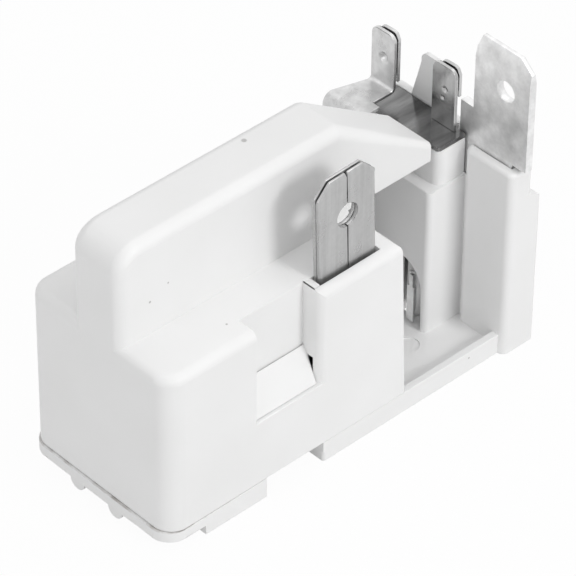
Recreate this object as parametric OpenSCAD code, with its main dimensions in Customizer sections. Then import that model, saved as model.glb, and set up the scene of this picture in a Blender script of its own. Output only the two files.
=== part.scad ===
// Compressor start relay: two white mouldings round a thermistor disc, with plug-on tabs
// on top and two pin sockets underneath. Lengths are millimetres, +Z is up.
// Inside the modules X runs along the relay from its closed end, Y across it from the
// side with the large window, and Z up from the underside of the base plate.

/* [Cover] */
// Length of the cover's box at its foot
box_l = 26.6; // [25.6:0.1:27.2]
// Width of the cover and of the base plate
body_w = 17.3; // [16.8:0.1:20]
// Height of the cover's box above the base plate
box_h = 16.4; // [15.6:0.1:18]
// How far the box's inner end leans in at its top
end_lean = 0.8; // [0:0.1:1.2]
// Height of the fin above the box
fin_h = 9.64; // [8.8:0.1:12]
// Thickness of the fin
fin_t = 5.8; // [5.4:0.1:6.6]
// Length of the fin's level top
fin_l = 24.4; // [22:0.1:25]
// Gap between the beak's nose and the neck on the tower
nose_gap = 0.4; // [0.3:0.05:0.8]
// Height of the beak's blunt nose
nose_h = 1.6; // [1:0.1:3]
// Gap between the box's top and the beak's underside
beak_lift = 0.8; // [0.4:0.1:1.4]
// Wall thickness of the cover
wall = 1; // [0.8:0.1:1.2]
// Radius of the upright corners
corner_r = 2; // [1.2:0.1:3]
// Radius of the rounded top edges
edge_r = 0.9; // [0.4:0.1:1.1]
// Radius of the fin's rounded edges
fin_r = 1.2; // [0.8:0.1:1.6]
// Radius of the beak's nose, which is sharper
nose_r = 0.6; // [0.4:0.05:0.75]

/* [Window] */
// Distance from the closed end to the window recess
window_x = 9.65; // [8.4:0.1:10]
// Length of the window recess
window_l = 7.05; // [6:0.1:7.4]
// Depth of the window recess
window_d = 2.2; // [1.8:0.1:2.6]
// Radius of the round edge beside the window
window_r = 0.9; // [0.5:0.1:1.1]
// Height of the window's sill above the base plate
sill_h = 6.7; // [5.6:0.1:8]
// Height of the latch head that shows in the window
latch_h = 2.25; // [1.6:0.05:2.6]

/* [Base] */
// Thickness of the base plate
plate_t = 1.02; // [0.9:0.02:1.4]
// How far the feet stand below the plate
foot_h = 1.06; // [0.9:0.02:1.4]
// Where the first foot starts
foot_x = 4; // [2.5:0.1:5]
// Length of the first foot
foot_l = 6.85; // [5:0.1:7]
// Where the deep end of the base starts
deep_x = 17.2; // [16.8:0.1:18]
// Thickness of the tray's rim
rim_t = 0.72; // [0.6:0.02:1]
// Thickness of the tray's floor
floor_t = 0.86; // [0.8:0.02:1]
// How far the plate stands proud of the cover at the closed end
lip = 0.2; // [0.1:0.02:0.3]
// Radius of the two ribs under the plate
rib_r = 0.85; // [0.6:0.05:0.9]
// Distance between the two ribs
rib_gap = 4.7; // [4:0.1:6]

/* [Tower] */
// Distance from the window side to the tower
tower_y = 5.3; // [5:0.1:5.6]
// Height of the tower above the underside of the plate
tower_h = 15.1; // [14:0.1:16]
// Height of the neck on the tower
neck_h = 3.7; // [3:0.1:4.4]
// Radius of the arched opening into the tower
arch_r = 2.7; // [2.4:0.1:2.9]
// Height at which the arch springs
arch_h = 4.2; // [3.6:0.1:5]

/* [End wall] */
// Thickness of the end wall behind the line tab
end_back = 1; // [0.9:0.1:1.4]
// Thickness of the end wall
end_t = 2.7; // [2.5:0.1:3]
// Height of the end wall above the underside of the plate
end_h = 18.5; // [17.6:0.1:19.4]
// Width of the end wall
end_w = 5.65; // [5.4:0.05:5.7]
// How far the end wall stands proud of the side
end_proud = 0.66; // [0.3:0.02:0.9]
// How far the outer ribs stand off the end wall
rib_out = 1.1; // [0.6:0.1:1.4]

/* [Tabs] */
// Width of the two large tabs
tab_w = 6.3; // [6.3:0.1:6.5]
// Thickness of the tabs
tab_t = 0.8; // [0.7:0.05:0.8]
// How far the front tab stands above the box
front_tab_h = 9.75; // [8.6:0.05:11]
// How far the line tab stands above the end wall
line_tab_h = 11.5; // [10:0.1:12.5]
// Width of the two small tabs
small_tab_w = 2.75; // [2.6:0.05:2.8]
// Height of the small tab on the strap
strap_tab_h = 5.3; // [4.8:0.1:6]
// Height of the small tab on the bridge plate
bridge_tab_h = 6.2; // [5.6:0.05:7]
// Thickness of the terminal sheet
sheet = 0.4; // [0.3:0.02:0.42]

/* [Sockets] */
// Diameter of the compressor's pins
pin_d = 2.3; // [2:0.1:2.4]
// Distance between the two pins
pin_pitch = 13.1; // [12.8:0.1:14]
// Distance from the tower's near edge to the pin in it
pin_in = 2.4; // [2.35:0.05:2.5]
// Length of a pin socket
socket_l = 6; // [5:0.1:6.5]

/* [Thermistor] */
// Diameter of the thermistor disc
disc_d = 14.6; // [13.6:0.1:14.8]
// Thickness of the thermistor disc
disc_t = 2.5; // [2:0.1:2.8]
// Distance from the fin's top to the disc
disc_drop = 1.96; // [1.8:0.02:2.6]

/* [Hidden] */
$fn = 48;
fine = 28;              // facets of a rounded edge inside a hull
seam = 0.06;            // gap between the two mouldings
play = 0.12;            // clearance round a terminal in its slot
eps = 0.01;
far = 40;               // longer than any cut

// Cover
mid_y = body_w / 2;
cover_z = plate_t + seam;
ledge_z = plate_t + box_h;
fin_z = ledge_z + fin_h;
fin_y0 = mid_y - fin_t / 2;
fin_y1 = mid_y + fin_t / 2;
beak_z = ledge_z + beak_lift;
window_x1 = window_x + window_l;
sill_z = plate_t + sill_h;
latch_z = sill_z + 0.05;
lintel_z = latch_z + latch_h + 0.05;
tray_z = floor_t - foot_h;

// Pin sockets: the base is built round them
socket_r = pin_d / 2;
socket_t = 0.35;
sleeve_t = 0.2;
collar_r = socket_r + socket_t + sleeve_t + 0.3;
collar_h = 0.6;
start_x = box_l - wall - collar_r - 0.1;
main_x = start_x + pin_pitch;
tail_lap = 1;           // how far a tail runs down its socket
tail_w = 2;
tail_bend = 1.2;
tail_reach = 4;
start_tail_z = plate_t + socket_l - tail_lap + 0.1;
main_tail_z = tray_z + socket_l - tail_lap;

// Tower, neck and end wall
tower_x = main_x - pin_in;
neck_x = tower_x + 1.2;
neck_z = tower_h + neck_h;
bridge_z = neck_z + sheet;
nose_x = neck_x - nose_gap;
line_x = main_x + 2.1;
neck_x1 = line_x - 0.15;
base_l = line_x + tab_t + end_back;
end_x = base_l - end_t;
end_y1 = end_w - end_proud;

// Barrier
barrier_x = line_x + tab_t - 0.4;
barrier_t = 0.8;
barrier_y0 = mid_y - 1.65;
barrier_y1 = mid_y + 5.95;
post_y = mid_y + 1.65;

// Front tab
front_x = window_x1 + 1;
front_y = 1.24;
front_hole_r = 1.15;
front_lean = 2;

// Line tab
line_y = -1.3;
line_hole_r = 1;
line_foot_y = 0.3;
line_foot_z = end_h / 2 - 0.25;
line_shoulder_z = end_h + 3.8;
line_shoulder_y = tower_y + 1.15;

// Strap with its small tab and its wing
strap_lift = 1.57;
strap_back = 2.2;
strap_bend = 1;
strap_side = 0.8;
strap_room = 0.15;
wing_h = 6.2;
wing_in = 0.6;
wing_drop = 2.02;
strap_z = bridge_z + strap_lift;
strap_tab_x = main_x;
strap_x0 = tower_x - strap_back;
strap_step_x = tower_x + play + 0.08;
strap_y0 = fin_y1 + strap_room;
strap_tab_y = strap_y0 + strap_side;
strap_y1 = strap_tab_y + small_tab_w + strap_side + strap_room;
wing_y = strap_y0 + wing_in;
wing_z1 = ledge_z - wing_drop;
wing_z0 = wing_z1 - wing_h;

// Bridge plate and its small tab
bridge_y1 = body_w - 2.9;
bridge_tab_x = line_x - 0.75;
bridge_tab_y = tower_y + 1.1;

// Disc and springs
disc_x = wall + 0.6 + disc_d / 2;
disc_z = fin_z - disc_drop - disc_d / 2;
spring_z = wing_z1 - 3;
spring_h = 3.4;
spring_t = 0.3;
spring_reach = 5;       // from the disc's axis to the bend beside it
spring_lift = 0.6;      // how far that bend stands off the disc

// Colours
white = [0.93, 0.93, 0.92];
tin = [0.74, 0.74, 0.73];
dark_tin = [0.3, 0.3, 0.31];

// The row's frame: the middle of the bounding box's underside
box_x0 = -lip;
box_x1 = base_l + rib_out;
row_origin = [(box_x0 + box_x1) / 2, (line_y + body_w) / 2, -foot_h];

module place() {
    translate(-row_origin) children();
}

// A plate between two corners in the XY plane, with round corners
module round_plate(x0, y0, x1, y1, r) {
    translate([x0 + r, y0]) square([x1 - x0 - 2 * r, y1 - y0]);
    translate([x0, y0 + r]) square([x1 - x0, y1 - y0 - 2 * r]);
    for (x = [x0 + r, x1 - r], y = [y0 + r, y1 - r]) translate([x, y]) circle(r);
}

// An upright block with round corners
module column(x0, y0, x1, y1, z0, z1, r) {
    translate([0, 0, z0]) linear_extrude(z1 - z0) round_plate(x0, y0, x1, y1, r);
}

// A plain block between two corners
module block(x0, y0, z0, x1, y1, z1) {
    translate([x0, y0, z0]) cube([x1 - x0, y1 - y0, z1 - z0]);
}

// An outline drawn in the XZ plane, from y0 to y1
module across(y0, y1) {
    translate([0, y1, 0]) rotate([90, 0, 0]) linear_extrude(y1 - y0) children();
}

// An outline drawn in the YZ plane, from x0 to x1
module along(x0, x1) {
    translate([x0, 0, 0]) rotate([90, 0, 90]) linear_extrude(x1 - x0) children();
}

// The top of a rounded corner, above its first ring: a quarter round about the corner's axis
module corner_cap(r, edge) {
    steps = 5;
    arc = [for (i = [1 : steps]) [r - edge + edge * cos(90 * i / steps), edge * sin(90 * i / steps)]];
    rotate_extrude($fn = fine) polygon(concat([[0, arc[0].y]], arc, [[0, edge]]));
}

// A block with round corners and a round top edge, whose far end may lean in
module soft_block(x0, y0, x1, y1, z0, z1, r, edge, lean = 0) {
    foot = 0.5;
    hull() {
        for (y = [y0 + r, y1 - r]) {
            translate([x0 + r, y, z0]) cylinder(r = r, h = z1 - edge - z0, $fn = fine);
            translate([x1 - r, y, z0]) cylinder(r = r, h = foot, $fn = fine);
            translate([x1 - r - lean, y, z1 - edge - foot]) cylinder(r = r, h = foot, $fn = fine);
            for (x = [x0 + r, x1 - r - lean]) translate([x, y, z1 - edge]) corner_cap(r, edge);
        }
    }
}

// A sheet bent along a line of points, drawn as straight runs with round bends
module bent_sheet(points, t) {
    for (i = [0 : len(points) - 2]) {
        run = points[i + 1] - points[i];
        translate(points[i]) rotate(atan2(run.y, run.x)) translate([0, -t / 2]) square([norm(run), t]);
        translate(points[i + 1]) rotate(7) circle(t / 2 + eps, $fn = 12);
    }
}

// Outline of a plug-on tab with its two corners cut off, standing on the X axis
module tab_outline(w, h, left, right, hole, hole_r) {
    difference() {
        polygon([[0, 0], [w, 0], [w, h - right.y], [w - right.x, h], [left.x, h], [0, h - left.y]]);
        translate(hole) circle(hole_r);
    }
}

// Outline of a small tab with round top corners
module small_outline(w, h, r) {
    square([w, h - r]);
    translate([r, 0]) square([w - 2 * r, h]);
    for (x = [r, w - r]) translate([x, h - r]) circle(r);
}

// Side of the fin and the beak, grown inwards by a wall thickness
module fin_side(inset, x0, x1, foot_z) {
    slope = (fin_z - beak_z - nose_h) / (nose_x - fin_l - 1);
    drop = inset * (sqrt(1 + slope * slope) - slope);
    intersection() {
        polygon([[inset, foot_z], [nose_x - inset, foot_z], [nose_x - inset, beak_z + nose_h - inset],
                 [nose_x - 1 - inset, beak_z + nose_h + slope * 0.2 - inset],
                 [fin_l - drop, fin_z - inset], [inset, fin_z - inset]]);
        translate([x0, foot_z]) square([x1 - x0, far]);
    }
}

// Fin with round edges, from the closed end to the nose of the beak
module fin_body() {
    r = fin_r;
    slope = (fin_z - beak_z - nose_h) / (nose_x - fin_l - 1);
    difference() {
        hull() {
            for (y = [fin_y0 + r, fin_y1 - r]) {
                translate([r, y, ledge_z - 2]) cylinder(r = r, h = 1, $fn = fine);
                translate([r, y, fin_z - r]) sphere(r, $fn = fine);
                translate([fin_l - r * slope / 2, y, fin_z - r]) sphere(r, $fn = fine);
            }
            for (y = [fin_y0 + nose_r, fin_y1 - nose_r]) {
                translate([nose_x - nose_r, y, beak_z + nose_h - nose_r / 2]) sphere(nose_r, $fn = fine);
                translate([nose_x - nose_r, y, beak_z - 0.5]) cylinder(r = nose_r, h = 0.5, $fn = fine);
            }
        }
        // underside of the beak
        block(box_l - 1.5, fin_y0 - 1, 0, nose_x + 1, fin_y1 + 1, beak_z);
    }
}

// Rooms inside the cover
module cover_rooms() {
    window_back = window_d + wall;
    difference() {
        across(wall, body_w - wall) polygon([[wall, -eps], [box_l - wall, -eps],
            [box_l - end_lean - wall, ledge_z - wall], [wall, ledge_z - wall]]);
        for (side = [0, 1]) translate([0, side * body_w, 0]) mirror([0, side, 0])
            block(window_x - wall, 0, lintel_z, window_x1 + wall, window_back, far);
    }
    // room for the disc in the fin
    across(fin_y0 + wall, fin_y1 - wall) fin_side(wall, 0, disc_x + disc_d / 2 + 0.6, ledge_z - 2 * wall);
    // hollow of the beak, open below
    across(fin_y0 + wall, fin_y1 - wall) fin_side(wall, box_l, nose_x, 0);
}

// Recess with its window, on the near side; its inner side meets the face in a round edge
module window_cut() {
    r = window_r;
    translate([0, 0, sill_z]) linear_extrude(far) {
        translate([window_x, -far]) square([window_l, far + window_d]);
        difference() {
            translate([window_x1 - eps, -1]) square([r, 1 + r]);
            translate([window_x1 + r - 0.02, r - 0.02]) circle(r);
        }
    }
    block(window_x + eps, -far, sill_z, window_x1 - eps, window_d + 2 * wall, lintel_z);
}

// White cover: box, fin, beak, windows and the slots for the terminals
module cover() {
    color(white) place() difference() {
        union() {
            soft_block(0, 0, box_l, body_w, cover_z, ledge_z, corner_r, edge_r, end_lean);
            fin_body();
        }
        cover_rooms();
        for (side = [0, 1]) translate([0, side * body_w, 0]) mirror([0, side, 0]) window_cut();
        // slot for the front tab
        block(front_x - 2 * play, front_y - 2 * play, 0, front_x + tab_w + 2 * play,
              front_y + tab_t + play, far);
        // slot for the wing of the strap
        block(box_l - 3 * wall, wing_y - 2 * play - sheet, -eps, box_l + wall,
              wing_y + 2 * play, wing_z1 + 2 * play);
    }
}

// Latch that stands behind the sill and hooks over it
module latch() {
    arm_y0 = wall + 0.2;
    arm_y1 = window_d - 0.1;
    head = [[arm_y1, latch_z - 1], [arm_y0, latch_z - 1], [arm_y0, latch_z], [0.24, latch_z],
            [1.5, latch_z + latch_h], [arm_y1, latch_z + latch_h]];
    block(window_x + 0.3, arm_y0, plate_t - eps, window_x1 - 0.3, arm_y1 + 0.6, latch_z - 1 + eps);
    along(window_x + play, window_x1 - play) polygon(head);
}

// Tower with its neck and the room for the pin socket
module tower() {
    back_y = body_w;
    difference() {
        union() {
            column(tower_x, tower_y, base_l, back_y, -foot_h, tower_h, 0.5);
            column(neck_x, tower_y + 0.25, neck_x + 2.5, back_y - 1, tower_h - eps, neck_z, 0.9);
            block(neck_x + 1.2, tower_y + 0.25, tower_h - eps, neck_x1, back_y - 1, neck_z);
        }
        // room round the socket
        block(main_x - 1.95, mid_y - arch_r, tray_z, main_x + 1.85, mid_y + arch_r, arch_h + arch_r + 2);
        // arched opening
        along(tower_x - eps, main_x) {
            translate([mid_y - arch_r, tray_z]) square([2 * arch_r, arch_h - tray_z]);
            translate([mid_y, arch_h]) circle(arch_r);
        }
        // slit for the socket's tail
        block(main_x + socket_r - play, mid_y - tail_w / 2 - play, arch_h,
              main_x + socket_r + socket_t + play, mid_y + tail_w / 2 + play, far);
    }
}

// End wall and the lower wall that joins it to the tower
module end_wall() {
    soft_block(end_x, -end_proud, base_l, end_y1, -foot_h, end_h, 0.7, 0.4);
    // lower wall between the end wall and the tower
    block(end_x + 0.6, end_y1 - 1, -foot_h, base_l, tower_y + 1, tower_h);
}

// Low wall and tapered post behind the small tabs
module barrier() {
    foot = bridge_z + 0.5;
    shoulder = bridge_z + 4.65;
    along(barrier_x, barrier_x + barrier_t) {
        polygon([[barrier_y0, tower_h - eps], [barrier_y1, tower_h - eps],
                 [barrier_y1, foot + 0.1], [barrier_y0, foot + 0.1]]);
        polygon([[post_y + 2.45, foot], [post_y + 1.2, shoulder],
                 [post_y - 1.3, shoulder], [post_y - 2.4, foot]]);
        // round top of the post
        translate([post_y - 1.3, shoulder - 0.5]) square([2.5, 0.9]);
        for (y = [post_y - 0.55, post_y + 0.55]) translate([y, shoulder]) circle(0.75);
        translate([post_y - 0.55, shoulder + 0.1]) square([1.1, 0.62]);
    }
    // thicker root on the end of the base
    block(barrier_x, barrier_y0, tower_h - eps, base_l, barrier_y1, neck_z - 0.6);
}

// White base: plate, feet, ribs, tray, tower, end wall, latches and the cradle of the disc
module base() {
    color(white) place() difference() {
        union() {
            // plate, deep end and tray
            difference() {
                union() {
                    column(-lip, 0, box_l, body_w, 0, plate_t, corner_r);
                    column(deep_x, 0, base_l, body_w, -foot_h, plate_t, 0.3);
                }
                block(box_l + 0.15, rim_t, tray_z, far + base_l, body_w - rim_t, far);
                // finger notches between the feet
                for (y = [-eps, body_w - 1.6]) block(foot_x + foot_l, y, -far, deep_x, y + 1.6 + eps, far);
            }
            // feet
            for (y = [0, body_w - 2.6]) block(foot_x, y, -foot_h, foot_x + foot_l, y + 2.6, eps);
            // ribs under the plate
            for (s = [-1, 1]) translate([-lip, mid_y + 0.2 + s * rib_gap / 2, 0]) rotate([0, 90, 0])
                cylinder(r = rib_r, h = deep_x + lip + 0.5);
            tower();
            end_wall();
            barrier();
            // ribs on the outside of the end
            for (y = [[-end_proud, 2.6], [body_w - 2.6, body_w - 0.2]]) intersection() {
                across(y[0], y[1]) polygon([[base_l - 1.5, -foot_h], [base_l + rib_out, -foot_h],
                    [base_l + rib_out, end_h - 3.9], [base_l + 0.15, end_h - 3], [base_l - 1.5, end_h - 3]]);
                column(end_x, y[0], base_l + rib_out, y[1], -far, far, 0.5);
            }
            for (side = [0, 1]) translate([0, side * body_w, 0]) mirror([0, side, 0]) latch();
            // cradle of the disc
            difference() {
                block(disc_x - 4.5, mid_y - disc_t / 2 + 0.1, plate_t - eps, disc_x + 4.5,
                      mid_y + disc_t / 2 - 0.1, disc_z - disc_d / 2 + 1.6);
                translate([disc_x, mid_y - disc_t, disc_z]) rotate([-90, 0, 0])
                    cylinder(d = disc_d + 0.1, h = 2 * disc_t);
            }
            // collar round the start socket
            translate([start_x, mid_y, plate_t - eps])
                cylinder(r = collar_r, h = collar_h);
        }
        // holes for the compressor's pins
        for (x = [start_x, main_x]) translate([x, mid_y, -foot_h - eps])
            cylinder(r = socket_r + 0.25, h = foot_h + plate_t + 1);
        translate([start_x, mid_y, plate_t])
            cylinder(r = socket_r + socket_t + 0.02, h = 2);
        // slot that holds the line tab
        block(line_x - play / 2, line_foot_y - play, line_foot_z - play, line_x + tab_t + play / 2,
              line_shoulder_y + play, far);
        // ejector mark on the tray's floor
        translate([tower_x - 1.9, tower_y - 0.1, tray_z - 0.1]) cylinder(r = 0.9, h = 1);
        // slot in the floor for the strap's foot
        block(strap_x0 - play, strap_y0 - play, tray_z - 0.4, strap_x0 + sheet + play,
              strap_y1 - 1.5 + play, tray_z + 1);
    }
}

// Ceramic thermistor disc, standing in the fin
module thermistor_disc() {
    color([0.3, 0.3, 0.3]) place() translate([disc_x, mid_y - disc_t / 2, disc_z]) rotate([-90, 0, 0]) {
        cylinder(d = disc_d, h = disc_t);
    }
}

// Leaf springs that press on the two faces of the disc
module near_spring() {
    y0 = front_y + tab_t + 0.16;
    touch = mid_y - disc_t / 2 - 0.17;
    color([0.8, 0.7, 0.45]) place() translate([0, 0, spring_z]) linear_extrude(spring_h)
        bent_sheet([[front_x + tab_w - 0.6, y0], [front_x + 0.8, y0], [window_x1, window_d + wall + 1.95],
                    [disc_x + spring_reach, touch - 0.1 - spring_lift], [disc_x, touch],
                    [disc_x - 3, touch - 1.5 * spring_lift]], spring_t);
}

module far_spring() {
    y0 = wing_y - sheet - 0.17;
    touch = mid_y + disc_t / 2 + 0.17;
    color([0.8, 0.7, 0.45]) place() translate([0, 0, spring_z]) linear_extrude(spring_h)
        bent_sheet([[front_x + spring_reach, y0], [window_x1 - 0.5, y0],
                    [disc_x + spring_reach, touch + spring_lift], [disc_x + 1, touch],
                    [disc_x - 2, touch + 1.5 * spring_lift]], spring_t);
}

// Cross-section of the folded front tab: a back sheet with both edges turned over to the middle
module folded_section(w, t) {
    r = t / 2;
    gap = 0.12;
    difference() {
        round_plate(0, 0, w, t, r - eps);
        translate([w / 2 - gap / 2, -eps]) square([gap, r]);
    }
}

// Front tab: folded sheet with a hole, and its limb inside the cover
module front_tab() {
    foot = spring_z - 0.6;
    color(tin) place() {
        intersection() {
            translate([front_x, front_y, 0]) translate([tab_w / 2, 0, ledge_z]) rotate([0, -front_lean, 0])
                translate([-tab_w / 2, 0, 0]) linear_extrude(front_tab_h + 1) folded_section(tab_w, tab_t);
            translate([front_x + tab_w / 2, 0, ledge_z]) rotate([0, -front_lean, 0])
                translate([-tab_w / 2, 0, 0]) across(0, far)
                    tab_outline(tab_w, front_tab_h, [1.3, 1.3], [1.3, 1.3], [tab_w / 2, 5.4], front_hole_r);
        }
        block(front_x + 0.1, front_y + tab_t - sheet, foot,
              front_x + tab_w - 0.1, front_y + tab_t, ledge_z + 0.3);
    }
}

// Small tab: a front leaf with a dimple, turned over at its far edge to a back leaf
module small_tab(x, y, z, h, back_h) {
    r = 0.75;
    along(x, x + sheet) translate([y, z]) small_outline(small_tab_w, h, r);
    along(x + sheet + 0.08, x + 2 * sheet + 0.08)
        translate([y + 0.25, z + h - back_h]) small_outline(small_tab_w - 0.25, back_h - 0.1, r);
    block(x + eps, y + small_tab_w - 0.2, z + h - back_h + 0.2, x + 2 * sheet + 0.07, y + small_tab_w,
          z + h - r);
}

// Strap: a level sheet with the small tab at its end, a limb down to the floor and a wing
module strap_tab() {
    color(tin) place() {
        difference() {
            union() {
                translate([0, 0, strap_z - sheet]) linear_extrude(sheet) {
                    translate([strap_x0 + strap_bend, strap_y0])
                        square([strap_step_x - strap_x0 - strap_bend, strap_y1 - strap_y0]);
                    translate([strap_step_x - eps, strap_tab_y])
                        square([strap_tab_x - strap_step_x + sheet, small_tab_w]);
                }
                small_tab(strap_tab_x, strap_tab_y, strap_z - sheet, strap_tab_h + sheet, strap_tab_h - 0.4);
                // the bend and the limb
                translate([strap_x0 + strap_bend, strap_y1, strap_z - strap_bend]) rotate([90, 0, 0])
                    linear_extrude(strap_y1 - strap_y0) intersection() {
                        difference() {
                            circle(strap_bend);
                            circle(strap_bend - sheet);
                        }
                        translate([-strap_bend, 0]) square(strap_bend);
                    }
                block(strap_x0, strap_y0, tower_h, strap_x0 + sheet, strap_y1, strap_z - strap_bend + eps);
                block(strap_x0, strap_y0, tray_z - 0.3, strap_x0 + sheet, strap_y1 - 1.5, tower_h + eps);
                // the wing that reaches the springs
                block(front_x, wing_y - sheet, wing_z0, strap_x0 + sheet / 2, wing_y, wing_z1);
            }
        }
    }
}

// Bridge plate on the neck, notched beside the line tab
module bridge_plate() {
    y0 = tower_y + 0.35;
    color(dark_tin) place() translate([0, 0, neck_z]) linear_extrude(sheet) {
        round_plate(neck_x, y0, neck_x + 2.5, bridge_y1, 0.35);
        translate([neck_x + 0.5, y0]) square([line_x - play - neck_x - 0.5, bridge_y1 - y0]);
        translate([neck_x + 0.5, line_shoulder_y + 0.4])
            square([barrier_x - play - neck_x - 0.5, bridge_y1 - line_shoulder_y - 0.4]);
    }
}

// The second small tab, standing on the bridge plate
module bridge_tab() {
    color(tin) place() small_tab(bridge_tab_x, bridge_tab_y, bridge_z, bridge_tab_h, 3);
}

// Line tab: one flat sheet with a plug-on tab on top, held in the end wall
module line_tab() {
    top = end_h + line_tab_h;
    color(tin) place() intersection() {
        along(line_x, line_x + tab_t) {
            translate([line_y, end_h + 0.35]) tab_outline(tab_w, top - end_h - 0.35, [1.3, 1.15], [0.6, 1.4],
                                                          [0.43 * tab_w, 7.05], line_hole_r);
            translate([line_foot_y, line_foot_z])
                square([line_shoulder_y - line_foot_y, line_shoulder_z - line_foot_z]);
        }
        // the tip is thinned on both faces so that a plug slides on
        across(line_y - 1, line_shoulder_y + 1) polygon([
            [line_x, 0], [line_x + tab_t, 0], [line_x + tab_t, top - 1.1],
            [line_x + 0.75 * tab_t, top], [line_x + 0.25 * tab_t, top], [line_x, top - 1.1]]);
    }
}

// Pin socket: a split tube with a tail
module socket(x, z) {
    difference() {
        translate([x, mid_y, z]) cylinder(r = socket_r + socket_t, h = socket_l);
        translate([x, mid_y, z - eps]) cylinder(r = socket_r, h = socket_l + 1);
        // the slit that lets the tube grip
        block(x - socket_r - 1, mid_y - 0.2, z - eps, x, mid_y + 0.2, z + socket_l + 1);
    }
}

// Spring sleeve that closes a pin socket, between two heights
module sleeve(x, z0, z1) {
    inner = socket_r + socket_t + 0.02;
    difference() {
        translate([x, mid_y, z0]) cylinder(r = inner + sleeve_t, h = z1 - z0);
        translate([x, mid_y, z0 - 1]) cylinder(r = inner, h = z1 - z0 + 2);
        block(x - inner - 1, mid_y - 0.5, z0 - 1, x, mid_y + 0.5, z1 + 1);
    }
}

module start_socket() {
    color(tin) place() {
        socket(start_x, plate_t + 0.02);
        // tail to the wing of the strap
        translate([0, 0, start_tail_z]) linear_extrude(wing_z0 + 1.3 - start_tail_z)
            bent_sheet([[start_x, mid_y + socket_r + socket_t / 2],
                        [start_x - tail_bend, wing_y - sheet - 0.25],
                        [start_x - tail_reach, wing_y - sheet - 0.25]], sheet);
    }
}

module main_socket() {
    color(tin) place() {
        socket(main_x, tray_z + 0.02);
        block(main_x + socket_r + 0.02, mid_y - tail_w / 2, main_tail_z,
              main_x + socket_r + socket_t, mid_y + tail_w / 2, neck_z);
    }
}

module start_socket_sleeve() {
    color([0.66, 0.67, 0.68]) place() sleeve(start_x, plate_t + collar_h + play, start_tail_z - play);
}

module main_socket_sleeve() {
    color([0.66, 0.67, 0.68]) place() sleeve(main_x, tray_z + play, main_tail_z - play);
}

cover();
base();
thermistor_disc();
near_spring();
far_spring();
front_tab();
strap_tab();
bridge_plate();
bridge_tab();
line_tab();
start_socket();
main_socket();
start_socket_sleeve();
main_socket_sleeve();
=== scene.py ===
"""Looks of a compressor start relay: white moulded housing, tinned plug-on tabs.

Lengths in the helpers are millimetres in the relay's own frame, the one the drawing uses:
X along the relay from its closed end, Y across it from the window side, Z up from the
underside of the base plate. at() turns them into metres in the row's frame.
"""
from math import cos, radians, sin

import bmesh
import bpy
from mathutils import Matrix, Vector


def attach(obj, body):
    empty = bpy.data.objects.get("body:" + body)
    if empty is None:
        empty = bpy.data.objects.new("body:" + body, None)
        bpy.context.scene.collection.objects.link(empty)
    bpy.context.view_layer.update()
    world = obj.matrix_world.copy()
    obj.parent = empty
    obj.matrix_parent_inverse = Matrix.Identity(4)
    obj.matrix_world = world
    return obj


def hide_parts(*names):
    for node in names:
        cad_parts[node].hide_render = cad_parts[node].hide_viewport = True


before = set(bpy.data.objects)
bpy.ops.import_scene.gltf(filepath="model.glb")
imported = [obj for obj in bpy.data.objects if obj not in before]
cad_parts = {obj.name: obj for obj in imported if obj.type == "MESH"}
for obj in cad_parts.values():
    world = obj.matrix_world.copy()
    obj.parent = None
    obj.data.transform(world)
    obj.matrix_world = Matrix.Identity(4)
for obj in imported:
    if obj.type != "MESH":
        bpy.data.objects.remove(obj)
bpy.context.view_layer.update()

MM = 0.001
ROW_ORIGIN = Vector((20.7, 8.0, -1.06))


def at(x, y, z):
    """A point of the drawing, in metres in the row's frame."""
    return (Vector((x, y, z)) - ROW_ORIGIN) * MM


# Materials


class Signal:
    """One output of a node. The maths operators set a Math node behind it."""

    def __init__(self, graph, socket):
        self.graph = graph
        self.socket = socket

    def maths(self, operation, first, second):
        return self.graph.node("Math", {"operation": operation}, [first, second])

    def __add__(self, other):
        return self.maths("ADD", self, other)

    def __radd__(self, other):
        return self.maths("ADD", other, self)

    def __sub__(self, other):
        return self.maths("SUBTRACT", self, other)

    def __rsub__(self, other):
        return self.maths("SUBTRACT", other, self)

    def __mul__(self, other):
        return self.maths("MULTIPLY", self, other)

    def __rmul__(self, other):
        return self.maths("MULTIPLY", other, self)

    def most(self, other):
        """The larger of the two."""
        return self.maths("MAXIMUM", self, other)


class Graph:
    """The nodes of a material or of the world, emptied at the start."""

    def __init__(self, owner):
        owner.use_nodes = True
        self.tree = owner.node_tree
        self.tree.nodes.clear()

    def add(self, kind, settings=None, inputs=None):
        """Adds a node. inputs is a list by order, or a dict by name or number."""
        made = self.tree.nodes.new("ShaderNode" + kind)
        for key, value in (settings or {}).items():
            setattr(made, key, value)
        pairs = inputs.items() if isinstance(inputs, dict) else enumerate(inputs or [])
        for key, value in pairs:
            self.plug(made.inputs[key], value)
        return made

    def node(self, kind, settings=None, inputs=None, output=0):
        """Adds a node and returns one of its outputs."""
        return Signal(self, self.add(kind, settings, inputs).outputs[output])

    def plug(self, socket, value):
        if isinstance(value, Signal):
            self.tree.links.new(value.socket, socket)
        else:
            socket.default_value = value

    def seen_or_mirrored(self):
        """1 for a ray from the camera and for one from a mirroring surface, 0 for the light that falls."""
        camera = self.node("LightPath", output="Is Camera Ray")
        return camera.most(self.node("LightPath", output="Is Glossy Ray"))


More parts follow.
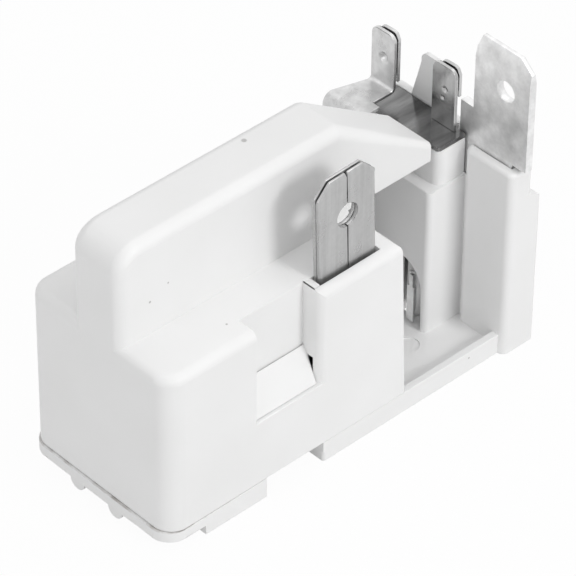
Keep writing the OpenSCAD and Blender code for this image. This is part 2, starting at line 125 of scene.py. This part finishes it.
class Finish(Graph):
    """A surface finish: one Principled shader and the nodes that feed it."""

    def __init__(self, name, **shader):
        self.material = bpy.data.materials.new(name)
        super().__init__(self.material)
        self.shader = self.add("BsdfPrincipled")
        self.end = self.add("OutputMaterial", None, {"Surface": Signal(self, self.shader.outputs[0])})
        self.place = self.node("TexCoord", output="Object")
        for socket, value in shader.items():
            self.feed(socket.replace("_", " "), value)

    def feed(self, socket, value):
        self.plug(self.shader.inputs[socket], value)

    def stretched(self, x, y, z, turn=(0, 0, 0)):
        """Object coordinates scaled to grains per metre along each axis."""
        return self.node("Mapping", None, {"Vector": self.place, "Scale": (x, y, z), "Rotation": turn})

    def along(self, axis):
        """How far a point lies along one axis of the row's frame, in metres."""
        return self.node("SeparateXYZ", None, [self.place], axis)

    def noise(self, where, scale=1.0, detail=3.0, rough=0.55):
        inputs = {"Vector": where, "Scale": scale, "Detail": detail, "Roughness": rough}
        return self.node("TexNoise", None, inputs)

    def spread(self, value, low, high, to_low=0.0, to_high=1.0):
        return self.node("MapRange", None, [value, low, high, to_low, to_high])

    def blend(self, factor, first, second):
        """Between two colours."""
        return self.node("Mix", {"data_type": "RGBA"}, {0: factor, 6: first, 7: second}, 2)

    def bump(self, height, distance, strength=1.0):
        inputs = {"Height": height, "Distance": distance, "Strength": strength}
        self.feed("Normal", self.node("Bump", None, inputs))

    def spot(self, centre, radius, soft):
        """1 inside a small ball about a point of the drawing, 0 outside it."""
        away = self.node("VectorMath", {"operation": "DISTANCE"}, [self.place, at(*centre)], "Value")
        return self.spread(away, (radius + soft) * MM, radius * MM)


def grey(level, alpha=1.0):
    return (level, level, level, alpha)


# Small dark specks in the mouldings: centre and radius
SPECKS = {
    "white_cover": [((17.42, 10.06, 27.06), 0.16), ((0.15, 8.7, 26.1), 0.1), ((3.35, 5.75, 20.7), 0.08),
                    ((5.3, 5.75, 21.6), 0.06), ((8.6, 2.5, 17.4), 0.07)],
    "white_base": [((34.3, 0.0, 0.4), 0.07)],
}
WHITE_LOW = (0.86, 0.86, 0.857, 1)
WHITE_HIGH = (0.895, 0.895, 0.895, 1)
SPECK_BROWN = (0.16, 0.15, 0.14, 1)
# painted shade colour for the line along the joint between cover and base
JOINT_SHADE = (0.3, 0.27, 0.24, 1)
JOINT_Z = 1.05


def moulded_white(name, seed):
    """Matte white moulding: hardly visible flow clouds, a fine spark-eroded skin, a few dark specks and
    a painted shade line along the joint between cover and base at the closed end."""
    skin = Finish(name, IOR=1.46)
    cloud = skin.noise(skin.stretched(90, 90, 90, (seed, 0, 0)), detail=2.0)
    fine = skin.noise(skin.stretched(2600, 2600, 2600, (0, seed, 0)), detail=2.0, rough=0.6)
    dents = skin.noise(skin.stretched(420, 420, 420), detail=1.0)
    tone = skin.spread(cloud, 0.3, 0.7)
    colour = skin.blend(tone, WHITE_LOW, WHITE_HIGH)
    mark = 0.0
    for centre, radius in SPECKS[name]:
        mark = skin.spot(centre, radius, radius * 0.8) + mark
    colour = skin.blend(mark * 0.5, colour, SPECK_BROWN)
    # painted shade in the joint between cover and base, broken up along its length
    level = skin.along("Z") - at(0, 0, JOINT_Z).z
    line = skin.spread(level * level, (0.11 * MM) ** 2, (0.03 * MM) ** 2)
    broken = skin.spread(skin.noise(skin.stretched(520, 520, 60, (seed, 1, 0)), detail=3.0), 0.47, 0.62)
    near_end = skin.spread(skin.along("X"), at(9, 0, 0).x, at(1.5, 0, 0).x)
    colour = skin.blend(line * broken * near_end * 0.6, colour, JOINT_SHADE)
    skin.feed("Base Color", colour)
    skin.feed("Roughness", skin.spread(fine, 0.3, 0.7, 0.42, 0.55))
    skin.bump(fine * 0.35 + dents, 0.00002, 0.5)
    return skin.material


def tinned_sheet(name, level, drawn=True, mottle=0.0, rough=(0.22, 0.4)):
    """Tin-plated strip with dull blotches, and with the drawn grain of the rolls up it or an even grain."""
    sheet = Finish(name, Metallic=1.0)
    grains = (2600, 2600, 60) if drawn else (900, 900, 900)
    grain = sheet.noise(sheet.stretched(*grains), detail=3.0, rough=0.6)
    cloud = sheet.noise(sheet.stretched(480, 480, 300), detail=4.0, rough=0.6)
    grit = sheet.noise(sheet.stretched(3200, 3200, 3200), detail=2.0)
    mixed = grain * 0.45 + cloud * (0.4 + mottle) + grit * 0.15
    tone = sheet.spread(mixed, 0.36 + mottle * 0.3, 0.66 + mottle * 0.6)
    dull, bright = grey(level * (0.84 - mottle * 0.3)), grey(min(1.0, level * 1.1))
    sheet.feed("Base Color", sheet.blend(tone, dull, bright))
    sheet.feed("Roughness", sheet.spread(cloud, 0.3, 0.7, rough[0], rough[1]))
    sheet.bump(grain * 0.2 + cloud * (0.3 + 2.0 * mottle) + grit * 0.1, 0.00003, 0.5)
    return sheet.material


def smoky_plate(name):
    """Dark, glossy metal with faint wiping marks."""
    plate = Finish(name, Metallic=1.0)
    wipe = plate.noise(plate.stretched(150, 900, 150, (0, 0, 0.6)), detail=4.0)
    plate.feed("Base Color", plate.blend(plate.spread(wipe, 0.35, 0.65), grey(0.12), grey(0.26)))
    plate.feed("Roughness", plate.spread(wipe, 0.3, 0.7, 0.12, 0.26))
    plate.bump(wipe, 0.00001, 0.4)
    return plate.material


def dull_ceramic(name):
    """Fired grey thermistor ceramic with a metallised face."""
    disc = Finish(name)
    grit = disc.noise(disc.stretched(1800, 1800, 1800), detail=3.0)
    disc.feed("Base Color", disc.blend(grit, grey(0.07), grey(0.16)))
    disc.feed("Roughness", disc.spread(grit, 0.3, 0.7, 0.55, 0.75))
    disc.bump(grit, 0.00002, 0.5)
    return disc.material


def spring_bronze(name):
    """Rolled bronze strip."""
    strip = Finish(name, Metallic=1.0)
    grain = strip.noise(strip.stretched(60, 60, 2400), detail=3.0)
    strip.feed("Base Color", strip.blend(grain, (0.42, 0.27, 0.1, 1), (0.62, 0.43, 0.19, 1)))
    strip.feed("Roughness", strip.spread(grain, 0.3, 0.7, 0.25, 0.42))
    strip.bump(grain, 0.00001, 0.4)
    return strip.material


cover_white = moulded_white("white_cover", 0.3)
base_white = moulded_white("white_base", 1.1)
front_tin = tinned_sheet("front_tin", 0.5, rough=(0.24, 0.36))
# the line tab's tin is set paler than the tin itself, painting in light on that tab
line_tin_painted_light = tinned_sheet("line_tin_painted_light", 0.88, drawn=False, mottle=0.2, rough=(0.32, 0.48))
strap_tin = tinned_sheet("strap_tin", 0.66, drawn=False, mottle=0.5, rough=(0.2, 0.42))
bridge_tin = tinned_sheet("bridge_tin", 0.6, mottle=0.15, rough=(0.14, 0.24))
socket_tin = tinned_sheet("socket_tin", 0.55)
sleeve_steel = tinned_sheet("sleeve_steel", 0.6)
# the clip's tin is set paler than the other socket tins, painting in light on the clip in the shaded arch
clip_tin_painted_light = tinned_sheet("clip_tin_painted_light", 0.9, drawn=False, rough=(0.35, 0.45))


def wear(piece, material):
    if not piece.data.materials:
        piece.data.materials.append(material)
    for i in range(len(piece.data.materials)):
        piece.data.materials[i] = material


dress = {
    "thermistor_disc": dull_ceramic("thermistor_ceramic"),
    "near_spring": spring_bronze("spring_bronze"),
    "bridge_plate": smoky_plate("smoky_plate"),
    "start_socket": socket_tin,
    "main_socket": socket_tin,
    "start_socket_sleeve": sleeve_steel,
}
dress["far_spring"] = dress["near_spring"]
for name, material in dress.items():
    wear(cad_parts[name], material)


# Pieces


SHARP = radians(32)


def sharp_edges(form, least=0.0):
    """Edges where two faces meet at an outer corner."""
    return [e for e in form.edges if e.is_manifold and e.calc_length() > least
            and e.is_convex and e.calc_face_angle(0.0) > SHARP]


def round_edges(form, edges, width, segments=2):
    bmesh.ops.bevel(form, geom=edges, offset=width, offset_type="OFFSET", segments=segments, profile=0.5,
                    affect="EDGES", clamp_overlap=False, material=-1)


def finish_piece(form, name, material, nodes):
    """Makes a piece of a form in metres, smooth but for its sharp edges, that stands for CAD nodes."""
    for face in form.faces:
        face.smooth = True
    for edge in form.edges:
        edge.smooth = edge.is_manifold and edge.calc_face_angle(0.0) < SHARP
    mesh = bpy.data.meshes.new(name)
    form.to_mesh(mesh)
    form.free()
    piece = bpy.data.objects.new(name, mesh)
    bpy.context.scene.collection.objects.link(piece)
    wear(piece, material)
    even = piece.modifiers.new("even_shading", "WEIGHTED_NORMAL")
    even.keep_sharp = True
    even.weight = 100
    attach(piece, "root")
    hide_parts(*nodes)
    return piece


def moulding(node, name, material, trued, cuts=()):
    """A copy of a moulded node, trued to the photograph, with its crisp long edges rounded as a mould
    leaves them. cuts gives its highest faces more corners, so that they can bend."""
    form = bmesh.new()
    form.from_mesh(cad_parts[node].data)
    bmesh.ops.remove_doubles(form, verts=form.verts, dist=0.002 * MM)
    bmesh.ops.dissolve_limit(form, angle_limit=radians(0.6), verts=form.verts, edges=form.edges)
    high_z = at(0, 0, 25.9).z
    for x in cuts:
        high = [f for f in form.faces if min(v.co.z for v in f.verts) > high_z]
        around = {e for f in high for e in f.edges} | {v for f in high for v in f.verts}
        bmesh.ops.bisect_plane(form, geom=high + list(around), plane_co=at(x, 0, 0), plane_no=(1, 0, 0))
    for vertex in form.verts:
        vertex.co = at(*trued(*(vertex.co / MM + ROW_ORIGIN)))
    bmesh.ops.remove_doubles(form, verts=form.verts, dist=0.004 * MM)
    round_edges(form, sharp_edges(form, 1.2 * MM), 0.12 * MM)
    return finish_piece(form, name, material, [node])


def to_metres(form):
    """Takes a form from drawing millimetres to the row's frame."""
    bmesh.ops.remove_doubles(form, verts=form.verts, dist=0.0005)
    for vertex in form.verts:
        vertex.co = at(*vertex.co)
    bmesh.ops.recalc_face_normals(form, faces=form.faces)


def plate_of(form, cells, flat, low, high, thin=None):
    """Adds a plate whose outline is tiled by cells. flat puts an outline point and a depth into space,
    thin says how much of the thickness is taken off each side at a point."""
    thin = thin or (lambda u, v: 0.0)
    part = bmesh.new()
    for u_v in cells:
        part.faces.new([part.verts.new((u, v, 0)) for u, v in u_v])
    bmesh.ops.remove_doubles(part, verts=part.verts, dist=0.001)
    grown = bmesh.ops.extrude_face_region(part, geom=part.faces[:])
    lifted = {v for v in grown["geom"] if isinstance(v, bmesh.types.BMVert)}
    for vertex in part.verts:
        u, v = vertex.co.x, vertex.co.y
        depth = high - thin(u, v) if vertex in lifted else low + thin(u, v)
        vertex.co = flat(u, v, depth)
    bmesh.ops.recalc_face_normals(part, faces=part.faces)
    add_form(form, part)


def add_form(form, part):
    """Moves the faces of one form into another."""
    mesh = bpy.data.meshes.new("passing")
    part.to_mesh(mesh)
    part.free()
    form.from_mesh(mesh)
    bpy.data.meshes.remove(mesh)


def arc(cx, cy, r, start, stop, steps):
    """Points of an arc, its angles in degrees."""
    return [(cx + r * cos(radians(start + (stop - start) * i / steps)),
             cy + r * sin(radians(start + (stop - start) * i / steps))) for i in range(steps + 1)]


def tab_cells(w, h, left, right, hole, r, tip, foot=()):
    """Outline of a plug-on tab in four cells: two halves round the hole and the rim of the tip.
    foot holds more points of the bottom edge, from left to right."""
    u, v = hole
    a, b = (0, h - left[1] - tip), (left[0] + 0.4 * tip, h - tip)
    c, d = (w - right[0] - 0.4 * tip, h - tip), (w, h - right[1] - tip)
    a2, b2, c2, d2 = (0, h - left[1]), (left[0], h), (w - right[0], h), (w, h - right[1])
    on_left = [(0, 0)] + [p for p in foot if p[0] < u] + [(u, 0)]
    on_right = [(u, 0)] + [p for p in foot if p[0] > u] + [(w, 0)]
    half_left = on_left + arc(u, v, r, 270, 90, 14) + [(u, h - tip), b, a]
    half_right = on_right + [d, c, (u, h - tip)] + arc(u, v, r, 90, -90, 14)
    return [half_left, half_right, [a, b, b2, a2], [b, (u, h - tip), c, c2, b2], [c, d, d2, c2]]


def ribbon(form, rows, thickness, columns=6, press=None):
    """Adds a bent sheet. Each row is its two ends and the way that the sheet faces there.
    press moves a point of the sheet along that way."""
    part = bmesh.new()
    sides = []
    for side in (0.5, -0.5):
        grid = []
        for start, end, facing in rows:
            start, end, facing = Vector(start), Vector(end), Vector(facing).normalized()
            line = []
            for i in range(columns + 1):
                point = start.lerp(end, i / columns)
                shift = press(point) if press else 0.0
                line.append(part.verts.new(point + facing * (side * thickness + shift)))
            grid.append(line)
        sides.append(grid)
    upper, lower = sides
    last, wide = len(rows) - 1, columns
    for i in range(last):
        for j in range(wide):
            for grid in sides:
                part.faces.new((grid[i][j], grid[i][j + 1], grid[i + 1][j + 1], grid[i + 1][j]))
    for i in range(last):
        for j in (0, wide):
            part.faces.new((upper[i][j], lower[i][j], lower[i + 1][j], upper[i + 1][j]))
    for j in range(wide):
        for i in (0, last):
            part.faces.new((upper[i][j], lower[i][j], lower[i][j + 1], upper[i][j + 1]))
    bmesh.ops.recalc_face_normals(part, faces=part.faces)
    add_form(form, part)


def bend(cx, cz, r, start, stop, steps):
    """Points and facings of a bend in the XZ plane about a centre."""
    found = []
    for i in range(steps + 1):
        turn = radians(start + (stop - start) * i / steps)
        found.append(((cx + r * cos(turn), cz + r * sin(turn)), (cos(turn), sin(turn))))
    return found


def dimple(centre, radius, depth):
    """A round pressed mark for ribbon(): how far a point moves."""
    def press(point):
        away = (point - Vector(centre)).length / radius
        return depth * max(0.0, 1 - away * away) ** 0.7 if away < 1 else 0.0
    return press


# The cover's box as the drawing has it, and what the photograph shows of its inner end and of its fin
BODY_W = 17.3
BOX_L, BOX_L_SEEN = 26.6, 26.75
LEAN, LEAN_SEEN = 0.8, 0.648
LEAN_Z0, LEAN_Z1 = 1.58, 16.02
CORNER_R, CORNER_R_SEEN = 2.0, 0.35
TOP_EDGE_Z0, TOP_EDGE_R, LEDGE_Z = 16.5, 0.92, 17.43
WALL, SLOT_X1 = 1.0, 24.3
FIN_ROUND_Z, FIN_R, FIN_R_SEEN = 25.8, 1.2, 2.8
FIN_CUTS = (1.4, 1.6, 1.85, 2.1, 2.4, 2.8)


def drop(x, r):
    """How far a quarter round of radius r lies below its top, x in from its side."""
    return r - (r * r - (r - x) ** 2) ** 0.5 if x < r else 0.0


def trued_cover(x, y, z):
    """The fin's wide round at the closed end, and the inner end with nearly sharp upright corners."""
    if z > FIN_ROUND_Z and x < FIN_R_SEEN:
        x = max(x, 0.0)
        return x, y, z - drop(x, FIN_R_SEEN) + drop(x, FIN_R)
    rise = min(1.0, max(0.0, (z - LEAN_Z0) / (LEAN_Z1 - LEAN_Z0)))
    old_end, end, r = BOX_L - LEAN * rise, BOX_L_SEEN - LEAN_SEEN * rise, CORNER_R_SEEN
    if z > LEDGE_Z or x < old_end - CORNER_R:
        return x, y, z
    far = y > BODY_W / 2
    v = BODY_W - y if far else y
    if v < CORNER_R:
        along, across = x - old_end + CORNER_R, v - CORNER_R
        out = (along * along + across * across) ** 0.5
        outside = out > (CORNER_R - 0.1 if z < TOP_EDGE_Z0 + 0.03 else CORNER_R - WALL)
        in_slot = abs(v - WALL) < 0.05 and x < SLOT_X1
        if outside and not in_slot:
            deep = CORNER_R - out
            if deep <= r:
                x, v = end - r + (r - deep) * along / out, r + (r - deep) * across / out
            else:
                x, v = end - deep, deep
    elif abs(x - old_end) < 0.05 or (z > TOP_EDGE_Z0 and x > old_end - TOP_EDGE_R):
        x += end - old_end
    return x, BODY_W - v if far else v, z


def trued_base(x, y, z):
    """The latch's back is raised to close the gap under the window's head. The barrier's post is thinner
    and lower, and its low wall lies under the plate."""
    latch_x0, latch_x1, latch_y, head_z, more = 9.7, 16.6, 2.1, 10, 0.9
    post_z, post_x, post_share, wall_z, low_z = 20, 39.5, 0.92, 19.8, 19.2
    if latch_x0 < x < latch_x1 and abs(y - latch_y) < 0.1 and z > 6.5:
        right_side = x > (latch_x0 + latch_x1) / 2
        return x + (more if right_side else 0.0), y, z + (more if z > head_z else 0.0)
    if x > 38 and z > post_z:
        return min(x, post_x), y, post_z + (z - post_z) * post_share
    if x > 39 and abs(z - wall_z) < 0.1:
        return x, y, low_z
    return x, y, z


moulding("cover", "cover_moulding", cover_white, trued_cover, FIN_CUTS)
moulding("base", "base_moulding", base_white, trued_base)


def front_tab():
    """Folded sheet: a back, and two leaves turned over to meet at a seam in the middle of the near side."""
    x, y, foot, w, h = 17.7, 1.24, 17.42, 6.3, 9.75
    hole, r, cut, tip = (w / 2, 5.4), 1.15, (1.3, 1.3), 0.4
    leaf, back_near, back_far = 0.395, 0.42, 0.8
    below, gap, open_top = -1.5, 0.03, 0.12
    past = 2.5  # degrees of the hole's round that the seam takes away
    leans = Matrix.Translation((x + w / 2, 0, foot)) @ Matrix.Rotation(radians(-2), 4, "Y") \
        @ Matrix.Translation((-x - w / 2, 0, -foot))

    def flat(u, v, depth):
        return leans @ Vector((x + u, y + depth, foot + v))

    def sloped(u, v):
        """The tip's rim is coined a little thinner."""
        return 0.1 if v > h - 0.01 or (v > h - cut[1] - 0.01 and (u < 0.01 or u > w - 0.01)) else 0.0

    cells = tab_cells(w, h, cut, cut, hole, r, tip)
    under = [[(0, below), (w, below), (w, 0), (w / 2, 0), (0, 0)]]
    form = bmesh.new()
    plate_of(form, cells + under, flat, back_near, back_far, lambda u, v: sloped(u, v) * 0.8)
    half = w / 2 - gap
    side, corner = (0, h - cut[1] - tip), (cut[0] + 0.4 * tip, h - tip)
    round_the_hole = arc(*hole, r, 270 - past, 90 + past, 14)
    left = [[(0, below), (half, below)] + round_the_hole + [(half, h - tip), corner, side],
            [side, corner, (cut[0], h), (0, h - cut[1])],
            [corner, (half, h - tip), (half - open_top, h), (cut[0], h)]]
    right = [[(w - a, b) for a, b in reversed(cell)] for cell in left]
    for cells in (left, right):
        plate_of(form, cells, flat, 0.0, leaf, sloped)
    to_metres(form)
    middle, near = at(x + w / 2, 0, 0).x, at(0, y + 0.1, 0).y

    def folded(edge):
        """A long upright edge at the left or the right of the near side."""
        centre = (edge.verts[0].co + edge.verts[1].co) / 2
        return centre.y < near and abs(centre.x - middle) > 2.5 * MM

    round_edges(form, [e for e in sharp_edges(form, 5 * MM) if folded(e)], 0.26 * MM, 4)
    round_edges(form, sharp_edges(form), 0.05 * MM)
    return finish_piece(form, "front_tab_folded", front_tin, ["front_tab"])


def line_tab():
    """Flat tab with a coined tip on a wider limb that runs down into the end wall."""
    x, y, foot, w, h = 38.7, -1.3, 18.85, 6.3, 11.15
    limb_y0, limb_y1, limb_z, shoulder = 0.3, 6.45, 9.0, 22.3

    def flat(u, v, depth):
        return Vector((x + depth, y + u, foot + v))

    def sloped(u, v):
        """The tip's rim is thinned on both faces."""
        at_left, at_right = u < 0.01, abs(u - w) < 0.01
        tip = v > h - 0.01 or (v > h - 1.16 and at_left) or (v > h - 1.41 and at_right)
        return 0.2 if tip else 0.0

    a, b, w2 = limb_y0 - y, 2.7, limb_y1 - y
    cells = tab_cells(w, h, (1.3, 1.15), (0.6, 1.4), (b, 7.05), 1.0, 1.0, foot=[(a, 0)])
    down = limb_z - foot
    cells.append([(a, down), (w2, down), (w2, 0), (w, 0), (b, 0), (a, 0)])
    cells.append([(w, 0), (w2, 0), (w2, shoulder - foot), (w, shoulder - foot)])
    # the tab's long right side meets the shoulder
    cells[1] = [p for q in cells[1] for p in ([q, (w, shoulder - foot)] if q == (w, 0) else [q])]
    form = bmesh.new()
    plate_of(form, cells, flat, 0.0, 0.8, sloped)
    to_metres(form)
    round_edges(form, sharp_edges(form), 0.05 * MM)
    return finish_piece(form, "line_tab_blade", line_tin_painted_light, ["line_tab"])


SMALL_W = 2.75
LEAF_T = 0.34
LEAF_R = 0.75


def small_tab(form, x, y, foot, h, back_h, spread):
    """The fold and the back leaf of a small tab, seen from above: round the far edge and back."""
    r, away = 0.7, 0.28
    mid, fold_y = x + LEAF_T / 2, y + SMALL_W - 0.3
    plan = [((mid + away + away * cos(radians(a)), fold_y + away * sin(radians(a))),
             (cos(radians(a)), sin(radians(a)))) for a in (170, 140, 110, 80, 50, 20)]
    low, top = foot + h - back_h, foot + h - 0.02
    rows = [((px, py, low + 0.2), (px, py, top - 0.55), (fx, fy, 0)) for (px, py), (fx, fy) in plan]
    length, steps = SMALL_W - 0.5, 8
    for i in range(steps + 1):
        s = i / steps
        px, py = mid + 2 * away + spread * s, fold_y - length * s
        from_edge = min(s, 1 - s) * length
        rows.append(((px, py, low + 0.15 * (1 - s)), (px, py, top - drop(from_edge, r)), (1, 0.1, 0)))
    ribbon(form, rows, LEAF_T, columns=10)


def leaf_rows(x, y, foot, top):
    """Rows of an upright leaf of a small tab, in the YZ plane with round top corners."""
    w, r, step = SMALL_W, LEAF_R, 0.12
    rows, count = [], int((top - r - foot) / step)
    levels = [foot + (top - r - foot) * i / count for i in range(count + 1)]
    levels += [top - r + r * sin(radians(a)) for a in (12, 24, 36, 48, 60, 72, 82, 90)]
    for z in levels:
        rise = max(0.0, z - (top - r))
        inset = r - (r * r - rise * rise) ** 0.5 if rise > 0 else 0.0
        rows.append(((x, y + inset, z), (x, y + w - inset, z), (-1, 0, 0)))
    return rows


def bridge_tab():
    """Small folded tab on the dark plate, its back leaf a little open."""
    x, y, foot, h = 37.95, 6.4, 19.2, 6.2
    leaf_x = x + LEAF_T / 2
    form = bmesh.new()
    marks = [dimple((leaf_x, 7.62, 23.0), 0.24, -0.14), dimple((leaf_x, 7.85, 22.05), 0.17, -0.1)]
    ribbon(form, leaf_rows(leaf_x, y, foot, foot + h), LEAF_T, 26,
           lambda point: sum(mark(point) for mark in marks))
    small_tab(form, x, y, foot, h, 3.0, 0.1)
    to_metres(form)
    round_edges(form, sharp_edges(form), 0.045 * MM, 1)
    return finish_piece(form, "bridge_tab_folded", bridge_tin, ["bridge_tab"])


def strap_tab():
    """One pressing: a limb from the floor, a round bend, a level strap and a small tab turned up from it."""
    t, sheet = 0.4, 0.36
    x0, z, tab_x, foot_z = 32.0, 20.77, 36.75, -0.5
    y0, y1, tab_y, limb_y1 = 11.7, 16.2, 12.5, 14.7
    bend_r, turn_r, tab_h = 1.0, 0.45, 5.5
    step_z, taper_x0, taper_x1 = 15.12, 33.0, 36.3
    limb_x, mid = x0 + t / 2, z - t / 2
    turn_x = tab_x + LEAF_T / 2

    def upright(level, far):
        return (limb_x, y0, level), (limb_x, far, level), (-1, 0, 0)

    def level_row(px, near):
        """Across the strap, whose far edge comes in towards the tab."""
        far = y1 - (y1 - tab_y - SMALL_W) * (px - taper_x0) / (taper_x1 - taper_x0)
        return (px, near, mid), (px, far, mid), (0, 0, 1)

    rows = [upright(foot_z, limb_y1), upright(step_z - 0.02, limb_y1)]
    rows += [upright(step_z + (z - bend_r - step_z) * i / 6, y1) for i in range(6)]
    for (px, pz), (fx, fz) in bend(x0 + bend_r, z - bend_r, bend_r - t / 2, 180, 90, 10):
        rows.append(((px, y0, pz), (px, y1, pz), (fx, 0, fz)))
    rows += [level_row(px, y0) for px in (33.4, 33.8, 34.2, 34.4)]
    rows += [level_row(px, tab_y) for px in (34.42, 34.9, 35.4, 35.9, taper_x1)]
    # the turn up into the tab: the sheet's upper side becomes the side towards the cover
    for a in (20, 40, 60, 80):
        turn = radians(a)
        px, pz = turn_x - turn_r + turn_r * sin(turn), mid + turn_r * (1 - cos(turn))
        rows.append(((px, tab_y, pz), (px, tab_y + SMALL_W, pz), (-sin(turn), 0, cos(turn))))
    rows += leaf_rows(turn_x, tab_y, mid + 0.5, z + tab_h)
    mark = dimple((turn_x, 13.75, 23.6), 0.5, -0.3)
    form = bmesh.new()
    ribbon(form, rows, sheet, 26, mark)
    small_tab(form, tab_x, tab_y, z, tab_h, 5.1, 0.12)
    # wing that reaches the leaf springs
    wing_x0, wing_x1, wing_z0, wing_z1, wing_y = 17.7, 32.1, 9.2, 15.4, 12.3
    wing = [(wing_x0, wing_z0), (wing_x1, wing_z0), (wing_x1, wing_z1), (wing_x0, wing_z1)]
    plate_of(form, [wing], lambda u, v, depth: Vector((u, depth, v)), wing_y - t, wing_y)
    to_metres(form)
    round_edges(form, sharp_edges(form), 0.05 * MM, 1)
    return finish_piece(form, "strap_pressing", strap_tin, ["strap_tab"])


def arch_clip():
    """The sleeve round the socket in the tower, with the tongue that shows through the arch."""
    near, far, in_by = 6.9, 7.7, (0.15, 0.25)
    foot, shoulder, top, x, t = 0.1, 3.9, 5.2, 34.3, 0.3
    a, b = near + in_by[0], far - in_by[1]
    wide = [(near, foot), (far, foot), (far, shoulder), (b, shoulder), (a, shoulder), (near, shoulder)]
    narrow = [(a, shoulder), (b, shoulder), (b, top), (a, top)]
    tongue = bmesh.new()
    plate_of(tongue, [wide, narrow], lambda u, v, depth: Vector((depth, u, v)), x, x + t)
    to_metres(tongue)
    form = bmesh.new()
    form.from_mesh(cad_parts["main_socket_sleeve"].data)
    bmesh.ops.remove_doubles(form, verts=form.verts, dist=0.002 * MM)
    add_form(form, tongue)
    round_edges(form, sharp_edges(form, 0.3 * MM), 0.04 * MM)
    return finish_piece(form, "arch_clip", clip_tin_painted_light, ["main_socket_sleeve"])


front_tab()
line_tab()
bridge_tab()
strap_tab()
arch_clip()


# Stage, lights and camera


def white_surround():
    """World: plain soft light on the object, white to the camera and in reflections."""
    world = bpy.data.worlds.new("surround")
    graph = Graph(world)
    falling, shown = [graph.node("Background", None, {"Color": grey(1.0), "Strength": level})
                      for level in (SURROUND, 1.0)]
    mix = graph.node("MixShader", None, [graph.seen_or_mirrored(), falling, shown])
    graph.add("OutputWorld", None, {"Surface": mix})
    bpy.context.scene.world = world


def pale_floor():
    """A wide pale floor level with the feet. It is white to the camera and still takes a soft shadow."""
    board = bmesh.new()
    bmesh.ops.create_grid(board, x_segments=1, y_segments=1, size=3.0)
    mesh = bpy.data.meshes.new("floor")
    board.to_mesh(mesh)
    board.free()
    floor = bpy.data.objects.new("floor", mesh)
    bpy.context.scene.collection.objects.link(floor)
    paint = Finish("floor_paint", Roughness=0.9)
    cloud = paint.noise(paint.stretched(4, 4, 4))
    paint.feed("Base Color", paint.blend(cloud, grey(0.80), grey(0.82)))
    paint.feed("Specular IOR Level", 0.0)
    glow = paint.node("Emission", None, {"Color": grey(1.0), "Strength": 1.0})
    share = paint.seen_or_mirrored() * FLOOR_WHITE
    mix = paint.node("MixShader", None, [share, Signal(paint, paint.shader.outputs[0]), glow])
    paint.plug(paint.end.inputs["Surface"], mix)
    wear(floor, paint.material)


def softbox(name, spot, aim, size, power):
    """A rectangular area lamp that faces a point."""
    lamp = bpy.data.lights.new(name, "AREA")
    lamp.shape = "RECTANGLE"
    lamp.size, lamp.size_y = size
    lamp.energy = power
    holder = bpy.data.objects.new(name, lamp)
    bpy.context.scene.collection.objects.link(holder)
    holder.location = spot
    holder.rotation_euler = (Vector(aim) - Vector(spot)).to_track_quat("-Z", "Y").to_euler()


def photo_camera():
    """The camera that took the photograph, as fitted to the relay's edges."""
    picture_px, shift_px = 576, (-3.598, 17.842)
    eye = (-164.45, -187.45, 236.37)
    right = Vector((0.7303, -0.6831, 0.0083)).normalized()
    back = Vector((-0.5258, -0.5543, 0.6452)).normalized()
    right = (right - back * right.dot(back)).normalized()
    up = back.cross(right)
    data = bpy.data.cameras.new("camera")
    data.sensor_width = 36.0
    data.lens = 263.87
    data.shift_x, data.shift_y = [shift / picture_px for shift in shift_px]
    data.clip_start = 0.01
    data.clip_end = 20.0
    camera = bpy.data.objects.new("camera", data)
    turn = Matrix((right, up, back)).transposed().to_4x4()
    camera.matrix_world = Matrix.Translation(at(*eye)) @ turn
    bpy.context.scene.collection.objects.link(camera)
    bpy.context.scene.camera = camera


SURROUND = 0.46
FLOOR_WHITE = 0.96
KEY = 1.2
OVERHEAD = 0.7
LEFT = 0.34

white_surround()
pale_floor()
softbox("overhead", (0.05, 0.0, 0.45), (0, 0, 0.01), (0.5, 0.5), OVERHEAD)
softbox("window_side", (0.096, -0.498, 0.324), (0, 0, 0.012), (0.15, 0.15), KEY)
softbox("left_fill", (-0.45, -0.05, 0.12), (0, 0, 0.012), (0.4, 0.3), LEFT)
photo_camera()
bpy.context.scene.view_settings.view_transform = "Standard"
